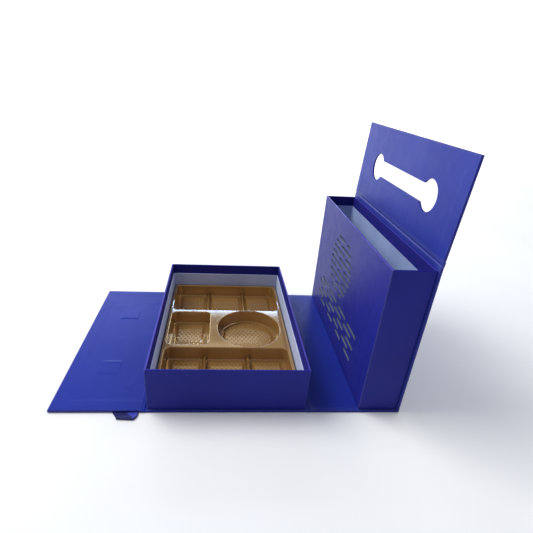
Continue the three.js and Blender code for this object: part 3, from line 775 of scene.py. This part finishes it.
def corner_bend(start, end):
    """The outer paper of a right-angled fold, round its corner."""
    centre = (end.x - FOLD_RADIUS, start.y + FOLD_RADIUS)
    bend = arc(centre, FOLD_RADIUS, -QUARTER, 0.0, FOLD_STEPS)
    return [start, *(Vector(point) for point in bend), end]


def make_hinges():
    """The four paper hinges, between the panels' ends."""
    base_left, base_right = panel_ends["base"]
    left_start, _ = panel_ends["left_flap"]
    spine_start, spine_end = panel_ends["spine"]
    back_foot, back_end = panel_ends["back"]
    flap_start, _ = panel_ends["handle_flap"]
    bend = corner_bend(spine_end[0], back_foot[0])
    hinge("left_flap_hinge_paper", base_left, left_start, LEFT_GROOVE)
    hinge("spine_hinge_paper", base_right, spine_start, SPINE_GROOVE)
    hinge("back_hinge_paper", spine_end, back_foot, outer_bend=bend)
    hinge("handle_flap_hinge_paper", back_end, flap_start, HANDLE_GROOVE)


make_hinges()


# Boxes: board tubs in blue wrap that turns in over the rim

tub_papers = [wrap_paper, grey_board, rim_painted_sheen, turned_paper]
WRAP, BARE, RIM_PAINTED_SHEEN, TURNED = range(len(tub_papers))


def tub_paper(level, levels, rim, long_side):
    """The paper at a level of a box; rim has its first level and the one after its top. The long sides'
    rim gets a lighter copy of the wrap, a painted sheen.
    """
    if level == levels - 1:
        return BARE
    if level >= rim[1]:
        return TURNED
    # The long sides' rim takes the lighter copy of the wrap: painted sheen.
    return RIM_PAINTED_SHEEN if level >= rim[0] and long_side else WRAP


def tub(name, prefix, body, sides, face_cuts=None):
    """An open box with rounded edges; its inside below the turned-in paper is bare board."""
    low, high = box_of(f"{prefix}_wrap")
    floor_top = box_of(sides["floor"])[1].z - low.z
    centre = ((low.x + high.x) / 2, (low.y + high.y) / 2)
    half = ((high.x - low.x) / 2, (high.y - low.y) / 2)
    height = high.z - low.z
    profile = [(BOX_EDGE, 0.0)]
    profile += [(BOX_EDGE - a, b) for a, b in arc((0.0, BOX_EDGE), BOX_EDGE, -QUARTER, 0.0, ARC_STEPS)[1:]]
    rim = (len(profile), len(profile) + ARC_STEPS + 1)
    profile += arc((BOX_EDGE, height - BOX_EDGE), BOX_EDGE, pi, QUARTER, ARC_STEPS)
    profile += arc((BOX_WALL - BOX_EDGE, height - BOX_EDGE), BOX_EDGE, QUARTER, 0.0, ARC_STEPS)
    profile += [(BOX_WALL, height - RIM_TURN_IN), (BOX_WALL, floor_top)]
    rings = stacked(profile, half, BOX_CORNER, CORNER_STEPS, centre, low.z)
    faces = skin(rings)
    count = len(rings[0])
    levels = len(rings) - 1
    indices = []
    for level in range(levels):
        for i in range(count):
            middle = (rings[level][i][0] + rings[level][(i + 1) % count][0]) / 2
            long_side = abs(middle - centre[0]) > half[0] - BOX_WALL
            indices.append(tub_paper(level, levels, rim, long_side))
    faces.append(tuple(reversed(range(count))))
    faces.append(tuple(range(count * levels, count * len(rings))))
    indices += [WRAP, BARE]
    piece = new_piece(name, sum(rings, []), faces, tub_papers, indices=indices)
    if face_cuts:
        cut_face(piece, low, face_cuts(low, high))
        piece.data.set_sharp_from_angle(angle=SHARP)
    evened(piece)
    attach(piece, body)
    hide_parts(f"{prefix}_wrap", *sides.values())


def moon_and_ripples(low, high):
    """Slits that draw a moon over rippled water, each as its height and two ends."""
    found = []
    moon_height = (low.z + high.z) / 2 + MOON_ABOVE_CENTRE
    rows = int((MOON_RADIUS - SLIT_HEIGHT / 2) / SLIT_PITCH)
    for row in range(-rows, rows + 1):
        rise = row * SLIT_PITCH
        reach = sqrt(MOON_RADIUS ** 2 - rise ** 2)
        side = -1 if row % 2 == 0 else 1
        split = MOON_SIDEWAYS + side * reach * MOON_SPLIT
        found.append((moon_height + rise, MOON_SIDEWAYS - reach, split - SLIT_BRIDGE / 2))
        found.append((moon_height + rise, split + SLIT_BRIDGE / 2, MOON_SIDEWAYS + reach))
    top = moon_height - MOON_RADIUS - RIPPLE_BELOW_MOON
    for row in range(RIPPLE_ROWS):
        length = RIPPLE_LENGTH - RIPPLE_SHRINK * row
        shift = RIPPLE_STAGGER if row % 2 else 0.0
        for i in range(RIPPLE_COUNT):
            middle = (i - (RIPPLE_COUNT - 1) / 2) * (RIPPLE_LENGTH + SLIT_BRIDGE) + shift
            found.append((top - row * SLIT_PITCH, middle - length / 2, middle + length / 2))
    return found


def cut_face(piece, low, slits):
    """Cuts round-ended slits through a box's face; the cut edge shows bare board."""
    radius = SLIT_HEIGHT / 2
    points = []
    faces = []
    for height, start, end in slits:
        outline = arc((end - radius, height), radius, -QUARTER, QUARTER, SLIT_END_STEPS)
        outline += arc((start + radius, height), radius, QUARTER, 3 * QUARTER, SLIT_END_STEPS)
        first = len(points)
        count = len(outline)
        for walls in SLIT_CUT:
            points.extend((low.x + BOX_WALL * walls, y, z) for y, z in outline)
        faces += skin([outline, outline], first)
        faces.append(tuple(reversed(range(first, first + count))))
        faces.append(tuple(range(first + count, first + 2 * count)))
    cutter = new_piece("slit_cutter", points, faces, [grey_board])
    cut = piece.modifiers.new("slits", "BOOLEAN")
    cut.object = cutter
    cut.operation = "DIFFERENCE"
    cut.solver = "EXACT"
    cut.material_mode = "TRANSFER"
    baked(piece)
    bpy.data.objects.remove(cutter)


def collar():
    """The cake box's card liner, with its cut top edge."""
    low, high = box_of("cake_box_liner")
    shoulder = high.z - LINER_TOP_EDGE
    profile = [(0.0, low.z), (0.0, shoulder), (LINER_TOP_EDGE, high.z)]
    profile += [(LINER_CARD - LINER_TOP_EDGE, high.z), (LINER_CARD, shoulder), (LINER_CARD, low.z)]
    rings = stacked(profile, (high.x, high.y), LINER_CORNER, LINER_CORNER_STEPS)
    points = sum(rings, [])
    faces = [tuple(i % len(points) for i in face) for face in skin(rings + rings[:1])]
    piece = new_piece("cake_box_collar", points, faces, [liner_card])
    evened(piece)
    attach(piece, "base")
    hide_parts("cake_box_liner")


cake_sides = {side: f"cake_box_{side}_board" for side in ("front", "rear", "left", "right", "floor")}
gift_sides = {side: f"gift_box_{side}_board" for side in ("face", "back", "near", "far")}
gift_sides["floor"] = "gift_box_bottom_board"
tub("cake_box_shell", "cake_box", "base", cake_sides)
tub("gift_box_shell", "gift_box", "back", gift_sides, moon_and_ripples)
collar()


# Tray: one thin formed sheet with cells, partitions and embossed floors

Cell = namedtuple("Cell", "centre half radius steps")


class Sheet:
    """Collects points and faces for one formed sheet."""

    def __init__(self):
        self.points = []
        self.faces = []
        self.facets = []

    def add(self, points, faces, faceted=False):
        first = len(self.points)
        if faceted:
            self.facets.extend(range(len(self.faces), len(self.faces) + len(faces)))
        self.points.extend(points)
        self.faces.extend(tuple(first + i for i in face) for face in faces)

    def loft(self, rings):
        self.add(sum(rings, []), skin(rings))

    def cover(self, outline, holes, level):
        places, faces = filled(outline, holes)
        self.add([(a, b, level) for a, b in places], faces)


def cell_ring(cell, grow, level):
    """A cell's outline, grown or shrunk, at a level."""
    half_a, half_b = (half + grow for half in cell.half)
    radius = max(cell.radius + grow, CELL_LEAST_CORNER)
    return [(a, b, level) for a, b in ring(half_a, half_b, radius, cell.steps, cell.centre)]


def flat_of(points):
    """Points without their level."""
    return [(a, b) for a, b, _ in points]


def tray_cells(edge, row_inner, row_outer):
    """The tray's two rows, then its oblong cell and its round cell."""
    row_centre = (row_inner + row_outer) / 2
    row_half = (edge, (row_outer - row_inner) / 2)
    rows = [Cell((0.0, sign * row_centre), row_half, CELL_CORNER, CELL_STEPS) for sign in (-1, 1)]
    oblong_half = (MIDDLE_WIDTH / 2, MIDDLE_DEPTH / 2)
    oblong = Cell((-edge + MIDDLE_WIDTH / 2, 0.0), oblong_half, CELL_CORNER, CELL_STEPS)
    round_from = -edge + MIDDLE_WIDTH + TRAY_RIB
    round_half = (ROUND_CELL_RADIUS, ROUND_CELL_RADIUS)
    disc = Cell(((round_from + edge) / 2, 0.0), round_half, ROUND_CELL_RADIUS, ROUND_CELL_STEPS)
    return rows, [oblong, disc]


def cell_levels(top, floor, hold):
    """How far a cell's wall is grown at each level, from the rim down to the floor."""
    foot_grow = -(top - floor - FLOOR_ROUND) * tan(TRAY_DRAFT)
    levels = [(RIM_ROUND + hold, top)]
    for turn in ROUND_TURNS:
        levels.append((RIM_ROUND * (1 - sin(turn)), top - RIM_ROUND * (1 - cos(turn))))
    for turn in ROUND_TURNS:
        inward = FLOOR_ROUND * (1 - cos(turn))
        levels.append((foot_grow - inward, floor + FLOOR_ROUND * (1 - sin(turn))))
    levels.append((levels[-1][0] - TRAY_HOLD, floor))
    return levels


def grown_at(levels, height):
    """How far a cell's wall is grown at a height."""
    for (upper_grow, upper), (lower_grow, lower) in zip(levels, levels[1:]):
        if lower <= height < upper:
            return lower_grow + (upper_grow - lower_grow) * (height - lower) / (upper - lower)
    return levels[-1][0]


def border_distance(cell, a, b):
    """How far a flat point lies inside a cell's outline."""
    from_a = abs(a - cell.centre[0]) - cell.half[0] + cell.radius
    from_b = abs(b - cell.centre[1]) - cell.half[1] + cell.radius
    beyond = hypot(max(from_a, 0.0), max(from_b, 0.0))
    return cell.radius - beyond - min(max(from_a, from_b), 0.0)


def lattice_points(cell):
    """Corners of a lattice's bars and dimples, counted in bars from a cell's middle."""
    count = ceil(cell.half[0] / LATTICE_WIDTH + cell.half[1] / LATTICE_DEPTH)
    halfway = (0.5 + LATTICE_FLAT) / 2
    points = []
    for offsets in ((-LATTICE_FLAT, LATTICE_FLAT, 0.5), (halfway, 1 - halfway)):
        lines = [i + offset for i in range(-count, count + 1) for offset in offsets]
        points.extend((u, v) for u in lines for v in lines)
    return points


def ridge_share(line):
    """A lattice's height, from 0 midway between bars to 1 on their flat tops."""
    away = abs(line - round(line))
    return 1 - max(0.0, away - LATTICE_FLAT) / (0.5 - LATTICE_FLAT)


def crown_height(cell, b, within):
    """The crown of a floor panel, highest toward the tray's far side."""
    half = cell.half[1]
    top = CROWN_TOP * half
    away = b - cell.centre[1] - top
    reach = half + top if away < 0 else half - top
    return LATTICE_CROWN * max(0.0, 1 - (away / reach) ** 2) * smooth(within, 0.0, CROWN_EASE)


def place_key(a, b):
    """A flat place, rounded so that the filler's copy of it is found again."""
    return round(a, LATTICE_DIGITS), round(b, LATTICE_DIGITS)


def lattice_patch(sheet, cell, floor):
    """A raised floor panel with an embossed lattice; gives its outline on the floor."""
    level = floor + LATTICE_RISE
    foot = cell_ring(cell, TRAY_HOLD, floor)
    edge = cell_ring(cell, -LATTICE_RISE, level)
    rim = cell_ring(cell, -LATTICE_RISE - TRAY_HOLD, level)
    sheet.loft([foot, cell_ring(cell, 0.0, floor), edge, rim])
    heights = {}
    for u, v in lattice_points(cell):
        a = cell.centre[0] + (u - v) / 2 * LATTICE_WIDTH
        b = cell.centre[1] + (u + v) / 2 * LATTICE_DEPTH
        within = border_distance(cell, a, b) - LATTICE_RISE - TRAY_HOLD
        if within > LATTICE_EDGE:
            ridge = max(ridge_share(u), ridge_share(v)) * smooth(within, 0.0, LATTICE_FADE)
            heights[place_key(a, b)] = LATTICE_HEIGHT * ridge + crown_height(cell, b, within)
    places, faces = filled(flat_of(rim), [], list(heights))
    points = [(a, b, level + heights.get(place_key(a, b), 0.0)) for a, b in places]
    sheet.add(points, faces, faceted=True)
    return flat_of(foot)


def partition(sheet, x, row, levels):
    """A low rounded ridge across a row, wall to wall; gives its outline on the floor."""
    floor = levels[-1][1]
    foot = PARTITION_FOOT / 2
    side = [(-foot - PARTITION_FOOT_ROUND, 0.0), (-foot, PARTITION_FOOT_RISE)]
    side.append((-PARTITION_CREST, PARTITION_HEIGHT - PARTITION_SHOULDER))
    crest = arc((0.0, PARTITION_HEIGHT - PARTITION_CREST / 2), PARTITION_CREST / 2, pi, 0.0, ARC_STEPS)
    profile = side + crest + [(-a, rise) for a, rise in reversed(side)]
    count = len(profile)
    middle = row.centre[1]
    points = []
    for end in (-1, 1):
        for a, rise in profile:
            reach = row.half[1] + grown_at(levels, floor + rise)
            points.append((x + a, middle + end * reach, floor + rise))
    sheet.add(points, [(i + count, i + 1 + count, i + 1, i) for i in range(count - 1)])
    half_a = foot + PARTITION_FOOT_ROUND
    half_b = row.half[1] + levels[-1][0] - PARTITION_SINK
    return rectangle((x - half_a, x + half_a), (middle - half_b, middle + half_b))


def row_floor(sheet, row, levels):
    """The partitions and lattice panels of a long row, as holes in its floor."""
    foot, floor = levels[-1]
    end = row.half[0] + foot
    columns = (-end, -PARTITION_SPACING / 2, PARTITION_SPACING / 2, end)
    half_b = row.half[1] + foot - LATTICE_MARGIN / 2
    holes = [partition(sheet, x, row, levels) for x in columns[1:3]]
    for x0, x1 in zip(columns, columns[1:]):
        half = ((x1 - x0) / 2 - LATTICE_MARGIN, half_b)
        patch = Cell(((x0 + x1) / 2, row.centre[1]), half, LATTICE_CORNER, CORNER_STEPS)
        holes.append(lattice_patch(sheet, patch, floor))
    return holes


def middle_floor(sheet, cell, levels):
    """The lattice panel of a middle cell, as a hole in its floor."""
    foot, floor = levels[-1]
    half = tuple(size + foot - LATTICE_MARGIN for size in cell.half)
    radius = min(half) if cell.radius > CELL_CORNER else LATTICE_CORNER
    return [lattice_patch(sheet, cell._replace(half=half, radius=radius), floor)]


def tray_skirt(sheet, low, high, draw):
    """The tray's drafted outside, from its rim down; gives the rim's outline."""
    body = Cell((0.0, 0.0), (high.x, high.y), TRAY_CORNER, SKIRT_STEPS)
    lip = -draw - RIM_ROUND
    rings = [cell_ring(body, lip - TRAY_HOLD, high.z)]
    for turn in ROUND_TURNS:
        grow = lip + RIM_ROUND * sin(turn)
        rings.append(cell_ring(body, grow, high.z - RIM_ROUND * (1 - cos(turn))))
    rings.append(cell_ring(body, 0.0, low.z))
    sheet.loft([outline[::-1] for outline in rings])
    return flat_of(rings[0])


def make_tray():
    """The formed tray, in place of its plain solid."""
    low, high = box_of("mooncake_tray")
    draw = (high.z - low.z) * tan(TRAY_DRAFT)
    edge = high.x - draw - TRAY_RIM
    rows, middles = tray_cells(edge, MIDDLE_DEPTH / 2 + TRAY_RIB, high.y - draw - TRAY_RIM)
    floor = low.z + TRAY_FLOOR_RISE
    mouths = []
    sheet = Sheet()
    outline = tray_skirt(sheet, low, high, draw)
    for cell in rows + middles:
        in_row = cell in rows
        levels = cell_levels(high.z, floor, TRAY_ROW_HOLD if in_row else TRAY_HOLD)
        rings = [cell_ring(cell, grow, level) for grow, level in levels]
        sheet.loft(rings)
        holes = row_floor(sheet, cell, levels) if in_row else middle_floor(sheet, cell, levels)
        sheet.cover(flat_of(rings[-1]), holes, floor)
        mouths.append(flat_of(rings[0]))
    sheet.cover(outline, mouths, high.z)
    piece = new_piece("formed_tray", sheet.points, sheet.faces, [tray_gold], sharp=TRAY_SHARP)
    for i in sheet.facets:
        piece.data.polygons[i].use_smooth = False
    shape = bmesh.new()
    shape.from_mesh(piece.data)
    bmesh.ops.remove_doubles(shape, verts=shape.verts, dist=WELD * MM)
    shape.to_mesh(piece.data)
    shape.free()
    thickened(piece, TRAY_SKIN, offset=-1.0)
    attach(piece, "tray")
    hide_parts("mooncake_tray")


make_tray()


# Ribbon handle: both ends under the left flap's lining, the rest doubled under the flap

def ribbon_route(floor, upper, tab_level, front):
    """The ribbon's middle, width and folded corner at each step, in the flap's frame."""
    outer = RIBBON_SPACING / 2 + TAB_LENGTH / 2
    inner = outer - TAB_LENGTH
    loop = (LOOP_FROM_HINGE, front + RIBBON_PLAY + RIBBON_THICKNESS)
    far_heading = atan2(RIBBON_ANCHOR - loop[0], loop[1] + inner)
    straight = LOOP_REACH - LOOP_RADIUS - RIBBON_THICKNESS
    tip = straight + LOOP_RADIUS
    clear = RIBBON_WIDTH / 2 * sin(LOOP_TURN) + RIBBON_PLAY
    crown = floor + LOOP_RADIUS
    top = crown + LOOP_RADIUS
    route = []

    def station(a, b, level, heading, out=0.0, facet=0.0):
        width = RIBBON_WIDTH * (1 - (1 - LOOP_WIDTH) * out)
        across = Vector((cos(heading), sin(heading), 0.0)) * width
        route.append((Vector((a, b, level)), across, facet))

    def through_slot(b, low, down):
        bends = [(b - RIBBON_BEND, tab_level), (b, tab_level - RIBBON_BEND)]
        bends += [(b, low + RIBBON_BEND), (b + RIBBON_BEND, low)]
        for place, level in bends if down else bends[::-1]:
            station(RIBBON_ANCHOR, place, level, 0.0)

    def leg(start, end, level, first_heading, last_heading):
        for step in range(1, LEG_STEPS + 1):
            share = step / (LEG_STEPS + 1)
            heading = first_heading + (last_heading - first_heading) * share
            a, b = (near + (far - near) * share for near, far in zip(start, end))
            station(a, b, level, heading)

    def ahead_of_loop(ahead, level, heading, facet=0.0):
        square = heading - LOOP_SQUARE * smooth(ahead, 0.0, LOOP_REACH)
        out = (ahead / LOOP_REACH) ** 2
        a = loop[0] - ahead * sin(heading) + LOOP_SHIFT * out
        b = loop[1] + ahead * cos(heading)
        station(a, b, level, square, out, facet)

    def facet_at(ahead):
        return max(FACET * (tip - ahead) / (tip - clear), FACET_LEAST)

    station(RIBBON_ANCHOR, -outer, tab_level, 0.0)
    through_slot(-inner, floor, True)
    leg((RIBBON_ANCHOR, -inner), loop, floor, far_heading, far_heading)
    for step in range(LEG_STEPS):
        ahead_of_loop(straight * step / LEG_STEPS, floor, far_heading)
    for step in range(LOOP_STEPS + 1):
        share = step / LOOP_STEPS
        heading = far_heading + (LOOP_TURN - far_heading) * share
        angle = (share - 0.5) * pi
        ahead = straight + LOOP_RADIUS * cos(angle)
        facet = facet_at(ahead) if angle > 0 else 0.0
        ahead_of_loop(ahead, crown + LOOP_RADIUS * sin(angle), heading, facet)
    for step in range(1, LEG_STEPS + 1):
        share = step / LEG_STEPS
        level = upper + (top - upper) * (0.5 + 0.5 * cos(share * pi))
        ahead = straight + (clear - straight) * share
        ahead_of_loop(ahead, level, LOOP_TURN, facet_at(ahead))
    last = route[-1][0]
    near_heading = atan2(RIBBON_ANCHOR - last.x, last.y - outer)
    leg((last.x, last.y), (RIBBON_ANCHOR, outer), upper, LOOP_TURN, near_heading)
    through_slot(outer, upper, False)
    station(RIBBON_ANCHOR, inner, tab_level, 0.0)
    return route


def ribbon_shares(facet):
    """Where the columns lie across the ribbon; the first ones end at its folded corner."""
    fold = facet or FACET_COLUMNS / RIBBON_ACROSS
    rest = RIBBON_ACROSS - FACET_COLUMNS
    corner = [fold * i / FACET_COLUMNS for i in range(FACET_COLUMNS)]
    return corner + [fold + (1 - fold) * i / rest for i in range(rest + 1)]


def make_ribbon():
    """The ribbon, in place of its plain solid."""
    place = panel_place(joint_place("left_flap_hinge"), (-1, 0, 0), (0, 0, 1))
    _, wrap_b, wrap_n = spans("left_flap_wrap", place)
    board_top = spans("left_flap_board", place)[2][1]
    floor = spans("handle_strap", place)[2][0] + RIBBON_THICKNESS / 2
    upper = wrap_n[0] - RIBBON_PLAY - RIBBON_THICKNESS / 2
    tab_level = board_top - TAB_SINK - RIBBON_THICKNESS / 2
    route = ribbon_route(floor, upper, tab_level, wrap_b[1])
    points = []
    for middle, across, facet in route:
        for share in ribbon_shares(facet):
            rise = FACET_RISE * max(0.0, facet - share)
            points.append(middle + across * (share - 0.5) + Vector((0.0, 0.0, rise)))
    row = RIBBON_ACROSS + 1
    faces = []
    indices = []
    for i in range(len(route) - 1):
        for j in range(RIBBON_ACROSS):
            here = i * row + j
            faces.append((here, here + 1, here + row + 1, here + row))
            # Faces of the folded corner take the lighter copy of the ribbon: painted light.
            indices.append(int(route[i][2] > 0 and j < FACET_COLUMNS))
    piece = new_piece("ribbon_handle", points, faces, [ribbon_blue_painted_shade, ribbon_painted_lit_fold], place, indices)
    thickened(piece, RIBBON_THICKNESS, offset=0.0)
    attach(piece, "left_flap")
    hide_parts("handle_strap")


make_ribbon()


# Carried-over CAD solids: the magnets and the gift box's card liner

def dress(name, material, edge):
    """Gives a CAD solid its material and softer edges."""
    solid = frame["nodes"][name]
    solid.data.materials.clear()
    solid.data.materials.append(material)
    rounded(solid, edge, SOLID_EDGE_SEGMENTS)


for flap in ("left_flap", "handle_flap"):
    for side in ("near", "far"):
        dress(f"{flap}_magnet_{side}", magnet_steel, MAGNET_EDGE)
dress("gift_box_liner", gift_card, GIFT_LINER_EDGE)


# Floor, backdrop, light and camera

def make_stage():
    """A pale floor that sweeps up into a far backdrop."""
    bend_from = STAGE_REACH - STAGE_BEND
    profile = [(-STAGE_REACH, 0.0), (bend_from, 0.0)]
    profile += arc((bend_from, STAGE_BEND), STAGE_BEND, -QUARTER, 0.0, STAGE_BEND_STEPS)[1:]
    profile.append((STAGE_REACH, STAGE_RISE))
    points = [(x, b, level - TINY) for x in (-STAGE_SIDE, STAGE_SIDE) for b, level in profile]
    count = len(profile)
    faces = [(i, i + count, i + 1 + count, i + 1) for i in range(count - 1)]
    floor = new_piece("floor", points, faces, [pale_floor("pale_floor")])


def soft_light(name, place, target, size, power, colour):
    """A soft box aimed at a point; the unmirrored one leaves no glints."""
    data = bpy.data.lights.new(name, "AREA")
    data.shape = "RECTANGLE"
    data.size, data.size_y = size
    data.energy = power
    data.color = colour
    lamp = shown(name, data)
    lamp.location = place
    lamp.visible_glossy = name != UNMIRRORED_LAMP
    lamp.rotation_mode = "QUATERNION"
    lamp.rotation_quaternion = (Vector(target) - Vector(place)).to_track_quat("-Z", "Y")


def make_light():
    """Soft boxes behind, on the left and on the right, a lit backdrop and a dim surround."""
    for name, settings in LAMPS.items():
        soft_light(name, *settings)
    world = bpy.data.worlds.new("studio")
    bpy.context.scene.world = world
    world.use_nodes = True
    background = world.node_tree.nodes["Background"]
    background.inputs["Color"].default_value = WORLD_COLOUR
    background.inputs["Strength"].default_value = WORLD_STRENGTH


def make_camera():
    """The photograph's viewpoint."""
    data = bpy.data.cameras.new("camera")
    data.sensor_width = SENSOR
    data.lens = SENSOR * FOCAL_PIXELS / PICTURE
    data.shift_x = (PICTURE / 2 - CAMERA_CENTRE[0]) / PICTURE
    data.shift_y = (CAMERA_CENTRE[1] - PICTURE / 2) / PICTURE
    data.clip_start = 0.01
    data.clip_end = 50.0
    place = Matrix.Translation(Vector(CAMERA_PLACE) * MM)
    turns = ((CAMERA_AZIMUTH, "Z"), (QUARTER - CAMERA_ELEVATION, "X"), (CAMERA_ROLL, "Z"))
    for angle, axis in turns:
        place = place @ Matrix.Rotation(angle, 4, axis)
    camera = shown("camera", data)
    camera.matrix_world = place
    bpy.context.scene.camera = camera


make_stage()
make_light()
make_camera()
bpy.context.scene.view_settings.view_transform = "Standard"
